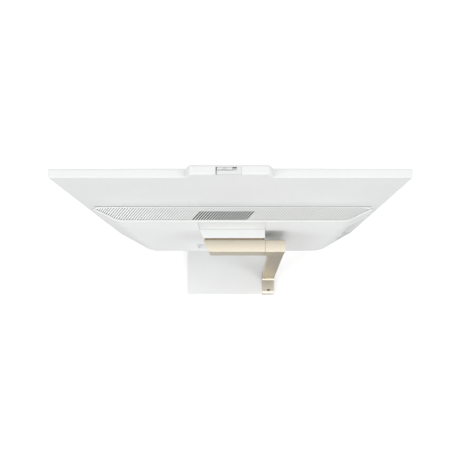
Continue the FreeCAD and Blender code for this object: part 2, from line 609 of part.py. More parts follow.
ram_rows = (196.0, 160.0)
sockets, rams = [], []
for z in ram_rows:
    s = union([box(-142, -70, -31.9, -27.2, z - 4.0, z + 1.6),
               box(-142, -138.4, -31.9, -28.0, z, z + 26), box(-73.6, -70, -31.9, -28.0, z, z + 26)])
    sockets.append(s.cut(box(-139.9, -72.1, -30.3, -28.9, z - 1.0, z + 30)))
    m = [box(-139.8, -72.2, -30.2, -29.0, z - 0.8, z + 28.6)]
    for k in range(4):
        m.append(box(-135 + k * 16, -124 + k * 16, -29.0, -28.1, z + 8, z + 20))
    rams.append(union(m))
save("memory_sockets", Part.makeCompound(sockets))
save("memory_modules", Part.makeCompound(rams))
ssd = union([box(-140, -60, -30.6, -29.8, 124, 146), box(-134, -118, -29.8, -28.7, 127, 143),
             box(-112, -96, -29.8, -28.7, 127, 143), box(-90, -76, -29.8, -28.9, 129, 141),
             box(-63.5, -57.0, -31.9, -28.6, 122.6, 147.4),
             cyl("y", (-138, -31.9, 135), 2.2, 1.5)])
save("solid_state_drive", ssd)
wifi = union([box(-62, -40, -30.6, -29.8, 203 - 27, 203), box(-60, -43, -29.8, -28.4, 180, 200),
              box(-62.6, -39.4, -31.9, -28.6, 202, 208)])
wifi = wifi.cut(box(-61, -45, -32.5, -30.6, 150, 175))
save("wireless_card", wifi)
cell = union([cyl("y", (-90, -30.4, 104), 8.0, 2.6), box(-99, -81, -31.9, -30.4, 97, 111)])
save("clock_battery", cell)

drive = rbox(112, 212, -38.0 + 1.2, -29.8, 101, 171, 2.0, "y")
drive = union([drive, box(212, 214, -35, -31, 110, 150)])
save("hard_drive", drive)
caddy = box(108, 218, -39.2, -28.0, 99.2, 172.8).cut(box(111.8, 214.4, -36.8, -27, 100.8, 171.2))
caddy = caddy.cut(box(130, 196, -40, -36, 112, 160))
save("drive_caddy", caddy)


def speaker(x0, x1):
    s = rbox(x0, x1, -33.6, -14.0, 75.2, 95.0, 2.5, "y")
    xc = (x0 + x1) / 2
    s = s.cut(rbox(x0 + 1.4, x1 - 1.4, -32.2, -15.4, 76.6, 93.6, 2.0, "y"))
    s = s.cut(rbox(xc - 20, xc + 20, -29, -16.5, 74, 78, 4.0, "z"))
    cone = rbox(xc - 21, xc + 21, -31.5, -15.6, 76.6, 80.2, 4.4, "z")
    return s, cone


sp_r, cone_r = speaker(158, 216)
sp_l, cone_l = speaker(-216, -158)
save("speaker_boxes", Part.makeCompound([sp_r, sp_l]))
save("speaker_drivers", Part.makeCompound([cone_r, cone_l]))
save("antennas", Part.makeCompound([box(-190, -140, -38.2, -37.6, 383, 391),
                                    box(140, 190, -38.2, -37.6, 383, 391)]))

# ------------------------------------------------------------- rear sockets
PORT_Y0, PORT_Y1 = -31.9, -14.6


def usb_a(cx, cz):
    s = box(cx - 7.2, cx + 7.2, PORT_Y0, PORT_Y1, cz - 3.7, cz + 3.7)
    s = s.cut(box(cx - 6.6, cx + 6.6, PORT_Y1 - 12.0, PORT_Y1 + 1, cz - 3.0, cz + 3.0))
    return s.fuse(box(cx - 5.6, cx + 5.6, PORT_Y1 - 12.1, PORT_Y1 - 1.0, cz + 0.2, cz + 2.1)).removeSplitter()


def hdmi(cx, cz):
    s = box(cx - 8.0, cx + 8.0, PORT_Y0, PORT_Y1, cz - 3.5, cz + 3.5)
    hole = prism_xz([(cx - 7.2, cz + 2.6), (cx - 7.2, cz - 0.6), (cx - 5.4, cz - 2.6),
                     (cx + 5.4, cz - 2.6), (cx + 7.2, cz - 0.6), (cx + 7.2, cz + 2.6)],
                    PORT_Y1 - 10.5, PORT_Y1 + 1)
    s = s.cut(hole)
    return s.fuse(box(cx - 5.2, cx + 5.2, PORT_Y1 - 10.6, PORT_Y1 - 1.2, cz - 0.4, cz + 1.0)).removeSplitter()


save("rear_usb_ports", Part.makeCompound([usb_a(x, REAR_Z) for x in usb_x]))
save("video_ports", Part.makeCompound([hdmi(x, REAR_Z) for x in hdmi_x]))
lan = box(LAN_X - 7.7, LAN_X + 7.7, PORT_Y0, PORT_Y1, REAR_Z - 6.7, REAR_Z + 6.7)
lan = lan.cut(box(LAN_X - 5.9, LAN_X + 5.9, PORT_Y1 - 12.5, PORT_Y1 + 1, REAR_Z - 4.0, REAR_Z + 4.6))
lan = lan.cut(box(LAN_X - 3.0, LAN_X + 3.0, PORT_Y1 - 12.5, PORT_Y1 + 1, REAR_Z - 5.8, REAR_Z - 3.9))
save("network_port", lan)
dcj = box(DC_X - 5.2, DC_X + 5.2, PORT_Y0, PORT_Y1, REAR_Z - 5.2, REAR_Z + 5.2)
dcj = dcj.cut(cyl("y", (DC_X, PORT_Y1 - 10.0, REAR_Z), 2.8, 12))
dcj = dcj.fuse(cyl("y", (DC_X, PORT_Y1 - 10.1, REAR_Z), 0.75, 9.0)).removeSplitter()
save("power_inlet", dcj)

# ------------------------------------------------------------- side sockets
SX0, SX1 = -227.4, -212.0


def side_a(cz):
    s = box(SX0, SX1, SIDE_Y - 3.3, SIDE_Y + 3.3, cz - 7.0, cz + 7.0)
    s = s.cut(box(SX0 - 1, SX0 + 12, SIDE_Y - 2.75, SIDE_Y + 2.75, cz - 6.4, cz + 6.4))
    return s.fuse(box(SX0 + 1, SX0 + 12.1, SIDE_Y - 2.0, SIDE_Y - 0.2, cz - 5.5, cz + 5.5)).removeSplitter()


save("side_usb_ports", Part.makeCompound([side_a(z) for z in side_a_z]))
usc = rbox(SX0, SX1, SIDE_Y - 2.0, SIDE_Y + 2.0, 135.6, 144.4, 1.8, "x")
usc = usc.cut(rbox(SX0 - 1, SX0 + 7, SIDE_Y - 1.3, SIDE_Y + 1.3, 136.0, 144.0, 1.25, "x"))
usc = usc.fuse(box(SX0 + 1, SX0 + 7.1, SIDE_Y - 0.35, SIDE_Y + 0.35, 136.8, 143.2)).removeSplitter()
save("side_usb_c_port", usc)
jack = cyl("x", (SX0, SIDE_Y, 121.0), 3.1, 3.0).fuse(box(SX0 + 2.4, SX1, -27.3, -20.7, 117.7, 124.3))
jack = jack.cut(cyl("x", (SX0 - 1, SIDE_Y, 121.0), AUDIO_R, 14.0)).removeSplitter()
save("audio_jack", jack)
sio = box(-225.4, -186, -29.3, -27.75, 112, 192)
sio = union([sio, box(-200, -190, -27.75, -25.0, 130, 160), box(-224, -218, -31.8, -29.3, 114, 118),
             box(-224, -218, -31.8, -29.3, 186, 190)])
sio = cut_all(sio, [box(-228, SX1 + 0.3, -27.75 - 0.0, -20, 100, 200)])
save("side_socket_board", sio)

# ------------------------------------------------------------- power button
button = union([cyl("z", (240, -40.25, 71.3), 4.0, 4.2), cyl("z", (240, -40.25, 74.75), 4.1, 1.0),
                box(233.8, 246.2, -41.75, -38.75, 74.75, 75.75)])
save("power_button", button)
turns = []
for i in range(5):
    z = 76.1 + i * 1.15
    turns.append(Part.makeTorus(2.6, 0.3, V(240, -40.25, z)))
    if i < 4:
        turns.append(cyl("z", (240 + (2.6 if i % 2 else -2.6), -40.25, z), 0.25, 1.15))
spring = union(turns)
save("button_spring", spring)
save("button_board", union([box(228, 252, -44.3, -36.1, 81.1, 82.3), box(236, 244, -43.5, -37.0, 82.3, 83.6)]))
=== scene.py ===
import json
import math

import bmesh
import bpy
from mathutils import Matrix, Vector
from mathutils.geometry import tessellate_polygon


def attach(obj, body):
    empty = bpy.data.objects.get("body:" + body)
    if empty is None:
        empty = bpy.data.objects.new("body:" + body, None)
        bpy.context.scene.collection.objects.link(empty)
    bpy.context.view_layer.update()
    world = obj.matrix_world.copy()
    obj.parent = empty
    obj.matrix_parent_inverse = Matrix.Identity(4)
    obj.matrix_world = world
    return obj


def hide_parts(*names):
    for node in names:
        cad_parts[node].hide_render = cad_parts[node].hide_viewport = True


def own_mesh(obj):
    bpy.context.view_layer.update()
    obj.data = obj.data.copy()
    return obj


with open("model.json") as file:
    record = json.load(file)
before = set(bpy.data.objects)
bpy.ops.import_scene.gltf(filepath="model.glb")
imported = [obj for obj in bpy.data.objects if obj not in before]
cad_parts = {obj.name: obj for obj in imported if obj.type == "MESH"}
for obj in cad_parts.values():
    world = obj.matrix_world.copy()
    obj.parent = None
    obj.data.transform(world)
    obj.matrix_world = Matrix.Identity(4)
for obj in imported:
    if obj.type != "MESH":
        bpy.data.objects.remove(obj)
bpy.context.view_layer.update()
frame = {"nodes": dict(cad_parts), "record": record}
NODES = frame["nodes"]
scene = bpy.context.scene
SLOT_OF = {s["node"]: s["material_slot"] for s in frame["record"]["subparts"]}

# ------------------------------------------------------------------- camera
# Straight over the object and a little behind it, looking down at the desk.
cam = bpy.data.cameras.new("camera")
cam.sensor_width = 36.0
cam.lens = 36.0 * 376.0 / 460.0
cam.shift_x = -13.5 / 460.0
cam.shift_y = 98.0 / 460.0
cam.clip_start = 0.01
cam_obj = bpy.data.objects.new("camera", cam)
cam_obj.location = (-0.0195, 0.1875, 0.953)
cam_obj.rotation_euler = (0.0, 0.0, math.pi)
scene.collection.objects.link(cam_obj)
scene.camera = cam_obj


# ---------------------------------------------------------------- materials
class Mat:
    """A node material built step by step, in metres on the object."""

    def __init__(self, name):
        self.m = bpy.data.materials.new(name)
        self.m.use_nodes = True
        self.t = self.m.node_tree
        self.t.nodes.clear()
        self.out = self.n("ShaderNodeOutputMaterial")
        self.bsdf = self.n("ShaderNodeBsdfPrincipled")
        self.t.links.new(self.bsdf.outputs[0], self.out.inputs[0])
        self.co = self.n("ShaderNodeTexCoord").outputs["Object"]

    def n(self, kind, **props):
        node = self.t.nodes.new(kind)
        for k, v in props.items():
            setattr(node, k, v)
        return node

    def link(self, a, b):
        self.t.links.new(a, b)

    def set(self, **kw):
        for k, v in kw.items():
            self.bsdf.inputs[k.replace("_", " ")].default_value = v
        return self

    def scaled(self, sx, sy, sz, src=None):
        v = self.n("ShaderNodeVectorMath", operation="MULTIPLY")
        self.link(src or self.co, v.inputs[0])
        v.inputs[1].default_value = (sx, sy, sz)
        return v.outputs[0]

    def noise(self, scale, detail=3.0, rough=0.55, vec=None):
        t = self.n("ShaderNodeTexNoise")
        t.inputs["Scale"].default_value = scale
        t.inputs["Detail"].default_value = detail
        t.inputs["Roughness"].default_value = rough
        self.link(vec or self.co, t.inputs["Vector"])
        return t.outputs["Fac"]

    def voronoi(self, scale, feature="F1", vec=None, out="Distance"):
        t = self.n("ShaderNodeTexVoronoi", feature=feature)
        t.inputs["Scale"].default_value = scale
        self.link(vec or self.co, t.inputs["Vector"])
        return t.outputs[out]

    def remap(self, src, a0, a1, b0, b1):
        t = self.n("ShaderNodeMapRange")
        for i, v in enumerate((a0, a1, b0, b1)):
            t.inputs[i + 1].default_value = v
        self.link(src, t.inputs[0])
        return t.outputs[0]

    def math(self, op, a, b):
        t = self.n("ShaderNodeMath", operation=op)
        for i, v in enumerate((a, b)):
            if isinstance(v, (int, float)):
                t.inputs[i].default_value = v
            else:
                self.link(v, t.inputs[i])
        return t.outputs[0]

    def mix(self, fac, a, b):
        t = self.n("ShaderNodeMix", data_type="RGBA")
        self.link(fac, t.inputs[0])
        for sock, v in ((t.inputs[6], a), (t.inputs[7], b)):
            if isinstance(v, tuple):
                sock.default_value = (*v[:3], 1.0)
            else:
                self.link(v, sock)
        return t.outputs[2]

    def paint_shade(self, src, shade_colour, reach=0.005, power=1.0):
        """Painted shade: darkens a colour towards a deeper tone by ambient occlusion, in recesses and near other
        surfaces.
        """
        ao = self.n("ShaderNodeAmbientOcclusion", samples=8)
        ao.inputs["Distance"].default_value = reach
        f = self.math("POWER", ao.outputs["AO"], power)
        return self.mix(f, shade_colour, src)

    def color(self, src):
        self.link(src, self.bsdf.inputs["Base Color"])
        return self

    def rough(self, src):
        self.link(src, self.bsdf.inputs["Roughness"])
        return self

    def bumps(self, layers, edge=None):
        """Stack height layers given as (height socket, strength, distance)."""
        prev = None
        if edge:
            bev = self.n("ShaderNodeBevel", samples=4)
            bev.inputs["Radius"].default_value = edge
            prev = bev.outputs[0]
        for h, s, d in layers:
            b = self.n("ShaderNodeBump")
            b.inputs["Strength"].default_value = s
            b.inputs["Distance"].default_value = d
            self.link(h, b.inputs["Height"])
            if prev is not None:
                self.link(prev, b.inputs["Normal"])
            prev = b.outputs[0]
        self.link(prev, self.bsdf.inputs["Normal"])
        return self


def moulded(name, base, rough=0.42, grain=2600.0, depth=0.00002, edge=0.0004, coat=0.0,
            shade_tone=1.0, reach=0.006):
    """Moulded plastic: spark-eroded grain, slight tone drift, faint scuffs, and optional painted shade in recesses.
    """
    m = Mat(name)
    drift = m.noise(7.0, 4.0)
    fine = m.noise(220.0, 3.0)
    dark = tuple(c * 0.965 for c in base)
    c1 = m.mix(m.remap(drift, 0.35, 0.65, 0.0, 1.0), base, dark)
    c2 = m.mix(m.remap(fine, 0.3, 0.7, 0.0, 0.35), c1, tuple(c * 0.94 for c in base))
    # Painted shade: below 1 this darkens the colour in recesses and near other surfaces.
    if shade_tone < 1.0:
        c2 = m.paint_shade(c2, tuple(c * shade_tone for c in base), reach)
    m.color(c2)
    scuff = m.noise(90.0, 6.0, 0.7, m.scaled(1.0, 1.0, 0.25))
    m.rough(m.remap(scuff, 0.3, 0.75, rough - 0.05, rough + 0.07))
    g = m.voronoi(grain, "SMOOTH_F1")
    w = m.noise(16.0, 2.0)
    m.bumps([(g, 0.35, depth), (w, 0.12, 0.0004)], edge)
    m.set(IOR=1.5)
    if coat:
        m.set(Coat_Weight=coat, Coat_Roughness=0.22)
    return m.m


def anodised(name, base, rough=0.38, metallic=0.72, edge=0.0004, shade_tone=1.0, reach=0.1):
    """Bead-blasted anodised aluminium with a fine sparkle, and optional painted shade in recesses and bends."""
    m = Mat(name)
    drift = m.noise(11.0, 4.0)
    spark = m.voronoi(2400.0, "F1")
    c1 = m.mix(m.remap(drift, 0.3, 0.7, 0.0, 1.0), base, tuple(c * 0.95 for c in base))
    c2 = m.mix(m.remap(spark, 0.1, 0.6, 0.0, 0.4), tuple(min(1.0, c * 1.05) for c in base), c1)
    # Painted shade: below 1 this darkens the colour towards a warmer brown in recesses, bends and near other
    # surfaces.
    m.color(m.paint_shade(c2, tuple(c * k for c, k in zip(base, (shade_tone, shade_tone * 0.94, shade_tone * 0.84))), reach, 2.4)
            if shade_tone < 1.0 else c2)
    m.rough(m.remap(m.noise(600.0, 4.0), 0.3, 0.7, rough - 0.05, rough + 0.06))
    m.set(Metallic=metallic)
    m.bumps([(m.noise(3200.0, 3.0, 0.7), 0.30, 0.00002), (m.noise(20.0, 2.0), 0.08, 0.0004)], edge)
    return m.m


def steel(name, base, rough=0.33, axis=(1.0, 60.0, 60.0)):
    m = Mat(name)
    lines = m.noise(60.0, 5.0, 0.65, m.scaled(*axis))
    spangle = m.voronoi(160.0, "F1", out="Color")
    c1 = m.mix(m.remap(lines, 0.3, 0.7, 0.0, 1.0), base, tuple(c * 0.82 for c in base))
    sep = m.n("ShaderNodeSeparateColor")
    m.link(spangle, sep.inputs[0])
    c2 = m.mix(m.remap(sep.outputs[0], 0.0, 1.0, 0.0, 0.22), c1, tuple(min(1.0, c * 1.15) for c in base))
    m.color(c2)
    m.rough(m.remap(lines, 0.3, 0.7, rough - 0.06, rough + 0.1))
    m.set(Metallic=1.0)
    m.bumps([(lines, 0.2, 0.00005)], 0.0003)
    return m.m


def rubber(name, base):
    m = Mat(name)
    m.color(m.mix(m.remap(m.noise(40.0, 5.0), 0.3, 0.7, 0.0, 1.0), base, tuple(c * 1.7 for c in base)))
    m.rough(m.remap(m.noise(300.0, 3.0), 0.3, 0.7, 0.72, 0.88))
    m.bumps([(m.voronoi(1400.0, "F1"), 0.5, 0.00005)], 0.0004)
    return m.m


def board(name):
    """Solder mask with tracks and pads."""
    m = Mat(name)
    tracks = m.n("ShaderNodeTexBrick")
    tracks.inputs["Scale"].default_value = 140.0
    tracks.inputs["Mortar Size"].default_value = 0.012
    m.link(m.scaled(1.0, 1.0, 1.0), tracks.inputs["Vector"])
    rot = m.n("ShaderNodeCombineXYZ")
    sep = m.n("ShaderNodeSeparateXYZ")
    m.link(m.co, sep.inputs[0])
    m.link(sep.outputs[0], rot.inputs[0])
    m.link(sep.outputs[2], rot.inputs[1])
    m.link(rot.outputs[0], tracks.inputs["Vector"])
    pads = m.remap(m.voronoi(420.0, "F1", rot.outputs[0]), 0.12, 0.16, 1.0, 0.0)
    c1 = m.mix(tracks.outputs["Fac"], (0.012, 0.075, 0.035), (0.03, 0.16, 0.07))
    c2 = m.mix(pads, c1, (0.62, 0.5, 0.24))
    m.color(c2)
    m.rough(m.remap(m.noise(200.0, 3.0), 0.3, 0.7, 0.28, 0.42))
    m.bumps([(tracks.outputs["Fac"], 0.3, 0.00004)], 0.0003)
    return m.m


def screen_face(name, lift=0.0):
    """Anti-glare display face: nearly black, with a soft etched sheen."""
    m = Mat(name)
    m.color(m.mix(m.remap(m.noise(5.0, 3.0), 0.3, 0.7, 0.0, 1.0), (0.008 + lift, 0.009 + lift, 0.012 + lift),
                  (0.013 + lift, 0.014 + lift, 0.018 + lift)))
    m.rough(m.remap(m.noise(2600.0, 2.0), 0.3, 0.7, 0.2, 0.3))
    m.set(IOR=1.49)
    m.bumps([(m.noise(4200.0, 2.0), 0.08, 0.00001)])
    return m.m


def smoked(name, base, rough=0.06):
    m = Mat(name)
    m.color(m.mix(m.remap(m.noise(30.0, 3.0), 0.3, 0.7, 0.0, 1.0), base, tuple(c * 1.4 for c in base)))
    m.rough(m.remap(m.noise(240.0, 4.0), 0.35, 0.8, rough, rough + 0.07))
    m.set(IOR=1.52, Coat_Weight=0.5, Coat_Roughness=0.03)
    m.bumps([(m.noise(40.0, 2.0), 0.05, 0.0001)], 0.0002)
    return m.m


WHITE = (0.78, 0.79, 0.786)
# The recess darkening set below is painted shade: in the grooves of the shell and grille, and in the gold's bends
# and near other surfaces. The grille's higher base tone is painted light that lifts the grooved ledge.
M = {
    "white_shell": moulded("white_shell", WHITE, 0.44, shade_tone=0.72),
    "white_grille": moulded("white_grille", (0.88, 0.89, 0.886), 0.46, edge=0.0002, shade_tone=0.66, reach=0.003),
    "white_gloss": moulded("white_gloss", (0.84, 0.85, 0.848), 0.34, depth=0.000012, coat=0.12),
    "gold_metal": anodised("gold_metal", (0.76, 0.695, 0.575), 0.38, 1.0, shade_tone=0.3, reach=0.045),
    "gold_shadow": anodised("gold_shadow", (0.38, 0.31, 0.22), 0.45),
    "steel": steel("steel", (0.60, 0.61, 0.63)),
    "rubber_pad": rubber("rubber_pad", (0.018, 0.018, 0.018)),
    "display_face": screen_face("display_face"),
    "window_glass": smoked("window_glass", (0.008, 0.008, 0.010)),
    "lens_glass": smoked("lens_glass", (0.02, 0.015, 0.05), 0.02),
    "pressed_steel": steel("pressed_steel", (0.52, 0.53, 0.55), 0.4, (8.0, 8.0, 8.0)),
    "panel_back": steel("panel_back", (0.55, 0.56, 0.58), 0.42, (1.0, 20.0, 20.0)),
    "circuit_green": board("circuit_green"),
    "chip_black": moulded("chip_black", (0.02, 0.02, 0.021), 0.5, 1800.0),
    "copper": steel("copper", (0.78, 0.40, 0.24), 0.3),
    "fin_metal": moulded("fin_metal", (0.022, 0.022, 0.024), 0.5, 1800.0),
    "black_plastic": moulded("black_plastic", (0.018, 0.018, 0.02), 0.45),
    "port_metal": steel("port_metal", (0.62, 0.62, 0.64), 0.25, (8.0, 1.0, 8.0)),
    "drive_metal": steel("drive_metal", (0.60, 0.61, 0.62), 0.36, (1.0, 1.0, 20.0)),
}
# Painted shade: the panel housing's lower tone and its long-reach darkening make the shade just above the ledge; the
# lower tones of the bezel, trim and shutter are painted shade on the front of the top edge. The recess darkening on
# the other parts is painted shade too.
OWN = {
    "panel_housing": moulded("white_panel", (0.75, 0.76, 0.756), 0.44, shade_tone=0.4, reach=0.035),
    "front_bezel": moulded("white_bezel", (0.72, 0.73, 0.726), 0.44, shade_tone=0.72),
    "shutter_trim": moulded("white_trim", (0.68, 0.69, 0.686), 0.40, shade_tone=0.72),
    "privacy_shutter": moulded("white_shutter", (0.69, 0.70, 0.696), 0.42, shade_tone=0.72),
    "hinge_cover_plate": moulded("white_cover", (0.71, 0.72, 0.716), 0.44, shade_tone=0.72),
    "rear_shell": moulded("white_back", WHITE, 0.44, shade_tone=0.78),
    "base_plate": moulded("white_base", WHITE, 0.46, shade_tone=0.85),
}
for name, obj in NODES.items():
    mat = OWN.get(name, M[SLOT_OF[name]])
    if not obj.material_slots:
        obj.data.materials.append(mat)
    for s in obj.material_slots:
        s.material = mat


# ------------------------------------------------------------ mesh builders
def finish_piece(name, bm, body, slot, material=None, bevel=0.0, smooth=False, segments=2):
    """Turn a bmesh into a piece that rides on a body and takes a slot's finish."""
    bmesh.ops.remove_doubles(bm, verts=bm.verts, dist=1e-7)
    bmesh.ops.recalc_face_normals(bm, faces=bm.faces)
    data = bpy.data.meshes.new(name)
    bm.to_mesh(data)
    bm.free()
    for poly in data.polygons:
        poly.use_smooth = smooth
    obj = bpy.data.objects.new(name, data)
    scene.collection.objects.link(obj)
    if bevel:
        mod = obj.modifiers.new("soft_edges", "BEVEL")
        mod.width = bevel
        mod.segments = segments
        mod.limit_method = "ANGLE"
        mod.angle_limit = math.radians(40)
    data.materials.append(material or M[slot])
    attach(obj, body)
    return obj


def add_box(bm, x0, x1, y0, y1, z0, z1, turn=None):
    """A block, in millimetres, optionally turned by a 4x4 matrix."""
    r = bmesh.ops.create_cube(bm, size=1.0)
    mat = Matrix.Translation(((x0 + x1) / 2000.0, (y0 + y1) / 2000.0, (z0 + z1) / 2000.0)) \
        @ Matrix.Diagonal(((x1 - x0) / 1000.0, (y1 - y0) / 1000.0, (z1 - z0) / 1000.0, 1.0))
    if turn is not None:
        mat = turn @ mat
    bmesh.ops.transform(bm, matrix=mat, verts=r["verts"])
    return r["verts"]


def strip(bm, path, width, thick, side):
    """A bent metal strip through points (mm); side is the unit vector across its width."""
    side = Vector(side)
    pts = [Vector(p) for p in path]
    rows = []
    for i, p in enumerate(pts):
        d = (pts[min(i + 1, len(pts) - 1)] - pts[max(i - 1, 0)]).normalized()
        n = d.cross(side).normalized()
        rows.append([bm.verts.new((p + side * (a * width / 2) + n * (b * thick / 2)) / 1000.0)
                     for a, b in ((-1, -1), (1, -1), (1, 1), (-1, 1))])
    for a, b in zip(rows, rows[1:]):
        for k in range(4):
            bm.faces.new((a[k], a[(k + 1) % 4], b[(k + 1) % 4], b[k]))
    bm.faces.new(rows[0][::-1])
    bm.faces.new(rows[-1])


def lathe(bm, profile, centre, axis, steps=40):
    """Turn a closed profile of (radius, height) in mm about an axis through centre."""
    ax = {"x": Vector((1, 0, 0)), "y": Vector((0, 1, 0)), "z": Vector((0, 0, 1))}[axis]
    u = {"x": Vector((0, 1, 0)), "y": Vector((0, 0, 1)), "z": Vector((1, 0, 0))}[axis]
    v = ax.cross(u)
    c = Vector(centre)
    rings = []
    for r, h in profile:
        if r < 1e-6:
            rings.append([bm.verts.new((c + ax * h) / 1000.0)])
        else:
            rings.append([bm.verts.new((c + ax * h + (u * math.cos(t) + v * math.sin(t)) * r) / 1000.0)
                          for t in (2 * math.pi * k / steps for k in range(steps))])
    pairs = list(zip(rings, rings[1:]))
    if len(rings[0]) > 1 and len(rings[-1]) > 1:
        pairs.append((rings[-1], rings[0]))
    for a, b in pairs:
        for k in range(steps):
            k2 = (k + 1) % steps
            if len(a) == 1 and len(b) == 1:
                continue
            if len(a) == 1:
                bm.faces.new((a[0], b[k], b[k2]))
            elif len(b) == 1:
                bm.faces.new((a[k], b[0], a[k2]))
            else:
                bm.faces.new((a[k], b[k], b[k2], a[k2]))


def rounded_loop(x0, x1, z0, z1, r, n=5):
    """Corner-rounded rectangle in X and Z, in mm, counter-clockwise."""
    out = []
    for cx, cz, a0 in ((x1 - r, z0 + r, -90), (x1 - r, z1 - r, 0), (x0 + r, z1 - r, 90), (x0 + r, z0 + r, 180)):
        for k in range(n + 1):
            a = math.radians(a0 + 90.0 * k / n)
            out.append((cx + r * math.cos(a), cz + r * math.sin(a)))
    return out


def band(bm, outer, inner, y0, y1, lift=0.0):
    """A frame between two loops of equal length in X and Z, from y0 to y1; lift rounds its face."""
    n = len(outer)
    rows = []
    for loop, y in ((outer, y0), (inner, y0 - lift), (inner, y1), (outer, y1)):
        rows.append([bm.verts.new((x / 1000.0, y / 1000.0, z / 1000.0)) for x, z in loop])
    for a, b in zip(rows, rows[1:] + rows[:1]):
        for k in range(n):
            bm.faces.new((a[k], a[(k + 1) % n], b[(k + 1) % n], b[k]))


def holed_plate(bm, outer, holes, y0, y1):
    """A plate in X and Z with round or other holes, from y0 to y1."""
    loops = [outer] + holes
    flat = [Vector((x, z, 0.0)) for loop in loops for x, z in loop]
    tris = tessellate_polygon([[Vector((x, z, 0.0)) for x, z in loop] for loop in loops])
    front = [bm.verts.new((p.x / 1000.0, y0 / 1000.0, p.y / 1000.0)) for p in flat]
    back = [bm.verts.new((p.x / 1000.0, y1 / 1000.0, p.y / 1000.0)) for p in flat]
    for a, b, c in tris:
        bm.faces.new((front[a], front[b], front[c]))
        bm.faces.new((back[c], back[b], back[a]))
    base = 0
    for loop in loops:
        n = len(loop)
        for k in range(n):
            i, j = base + k, base + (k + 1) % n
            bm.faces.new((front[i], front[j], back[j], back[i]))
        base += n


def circle(cx, cz, r, n=40):
    return [(cx + r * math.cos(2 * math.pi * k / n), cz + r * math.sin(2 * math.pi * k / n)) for k in range(n)]


HEAD = "display_head"
GOLD_PIN = steel("contact_gold", (0.86, 0.62, 0.26), 0.22, (20.0, 4.0, 20.0))

# ------------------------------------------------------------- rear sockets
REAR_Z = 111.0
PORT_Y1 = -14.6
USB_X = (24.3, 8.1, -8.1, -24.3)
HDMI_X = (-42.5, -61.0)
LAN_X, DC_X = 44.5, 62.5

bm = bmesh.new()
for cx in USB_X:
    for off in (-3.5, -1.0, 1.0, 3.5):
        y = PORT_Y1
        strip(bm, [(cx + off, y - 11.8, REAR_Z + 0.14), (cx + off, y - 4.0, REAR_Z + 0.12),
                   (cx + off, y - 2.6, REAR_Z - 0.12), (cx + off, y - 1.9, REAR_Z + 0.10),
                   (cx + off, y - 1.3, REAR_Z + 0.16)], 1.0, 0.12, (1, 0, 0))
    for off in (-2.9, -1.5, 0.0, 1.5, 2.9):
        strip(bm, [(cx + off, PORT_Y1 - 11.8, REAR_Z + 0.15), (cx + off, PORT_Y1 - 8.0, REAR_Z + 0.13),
                   (cx + off, PORT_Y1 - 7.2, REAR_Z - 0.05), (cx + off, PORT_Y1 - 6.6, REAR_Z + 0.15)],
              0.6, 0.1, (1, 0, 0))
for cx in HDMI_X:
    for i in range(10):
        x = cx - 4.5 + i * 1.0
        strip(bm, [(x, PORT_Y1 - 10.2, REAR_Z + 1.04), (x, PORT_Y1 - 2.2, REAR_Z + 1.04),
                   (x, PORT_Y1 - 1.6, REAR_Z + 0.9)], 0.42, 0.09, (1, 0, 0))
    for i in range(9):
        x = cx - 4.0 + i * 1.0
        strip(bm, [(x, PORT_Y1 - 10.2, REAR_Z - 0.44), (x, PORT_Y1 - 2.2, REAR_Z - 0.44),
                   (x, PORT_Y1 - 1.6, REAR_Z - 0.3)], 0.42, 0.09, (1, 0, 0))
for i in range(8):
    x = LAN_X - 4.445 + i * 1.27
    strip(bm, [(x, PORT_Y1 - 12.3, REAR_Z + 4.45), (x, PORT_Y1 - 9.5, REAR_Z + 4.2),
               (x, PORT_Y1 - 4.0, REAR_Z + 1.7), (x, PORT_Y1 - 3.3, REAR_Z + 1.75),
               (x, PORT_Y1 - 2.9, REAR_Z + 2.3), (x, PORT_Y1 - 3.4, REAR_Z + 3.6)], 0.46, 0.3, (1, 0, 0))
finish_piece("rear_socket_contacts", bm, HEAD, "copper", GOLD_PIN)

bm = bmesh.new()
for cx in USB_X:
    band(bm, rounded_loop(cx - 7.5, cx + 7.5, REAR_Z - 4.0, REAR_Z + 4.0, 0.6),
         rounded_loop(cx - 6.55, cx + 6.55, REAR_Z - 2.95, REAR_Z + 2.95, 0.3), PORT_Y1 - 0.2, PORT_Y1 + 0.25)
    for s in (-1, 1):
        for off in (-3.2, 3.2):
            strip(bm, [(cx + off, PORT_Y1 - 9.5, REAR_Z + s * 2.98), (cx + off, PORT_Y1 - 4.6, REAR_Z + s * 2.6),
                       (cx + off, PORT_Y1 - 3.9, REAR_Z + s * 2.45), (cx + off, PORT_Y1 - 3.0, REAR_Z + s * 2.8)],
                  1.8, 0.18, (1, 0, 0))
for cx in HDMI_X:
    outer = rounded_loop(cx - 8.3, cx + 8.3, REAR_Z - 3.8, REAR_Z + 3.8, 0.7, 5)
    inner = rounded_loop(cx - 7.25, cx + 7.25, REAR_Z - 2.62, REAR_Z + 2.62, 0.5, 5)
    # the lower corners are cut back like the socket's own mouth
    inner = [(x, z) if z > REAR_Z - 0.6 else
             (cx + max(-7.2 + (REAR_Z - 0.6 - z) * 0.9, min(7.2 - (REAR_Z - 0.6 - z) * 0.9, x - cx)), z)
             for x, z in inner]
    band(bm, outer, inner, PORT_Y1 - 0.2, PORT_Y1 + 0.2)
band(bm, rounded_loop(LAN_X - 7.95, LAN_X + 7.95, REAR_Z - 6.95, REAR_Z + 6.95, 0.5),
     rounded_loop(LAN_X - 6.6, LAN_X + 6.6, REAR_Z - 6.1, REAR_Z + 5.4, 0.4), PORT_Y1 - 0.1, PORT_Y1 + 0.3)
lathe(bm, [(2.85, -9.0), (2.85, 0.2), (3.1, 0.45), (4.6, 0.45), (4.9, 0.2), (4.9, -0.1), (3.2, -0.1), (3.0, -9.0)],
      (DC_X, PORT_Y1, REAR_Z), "y")
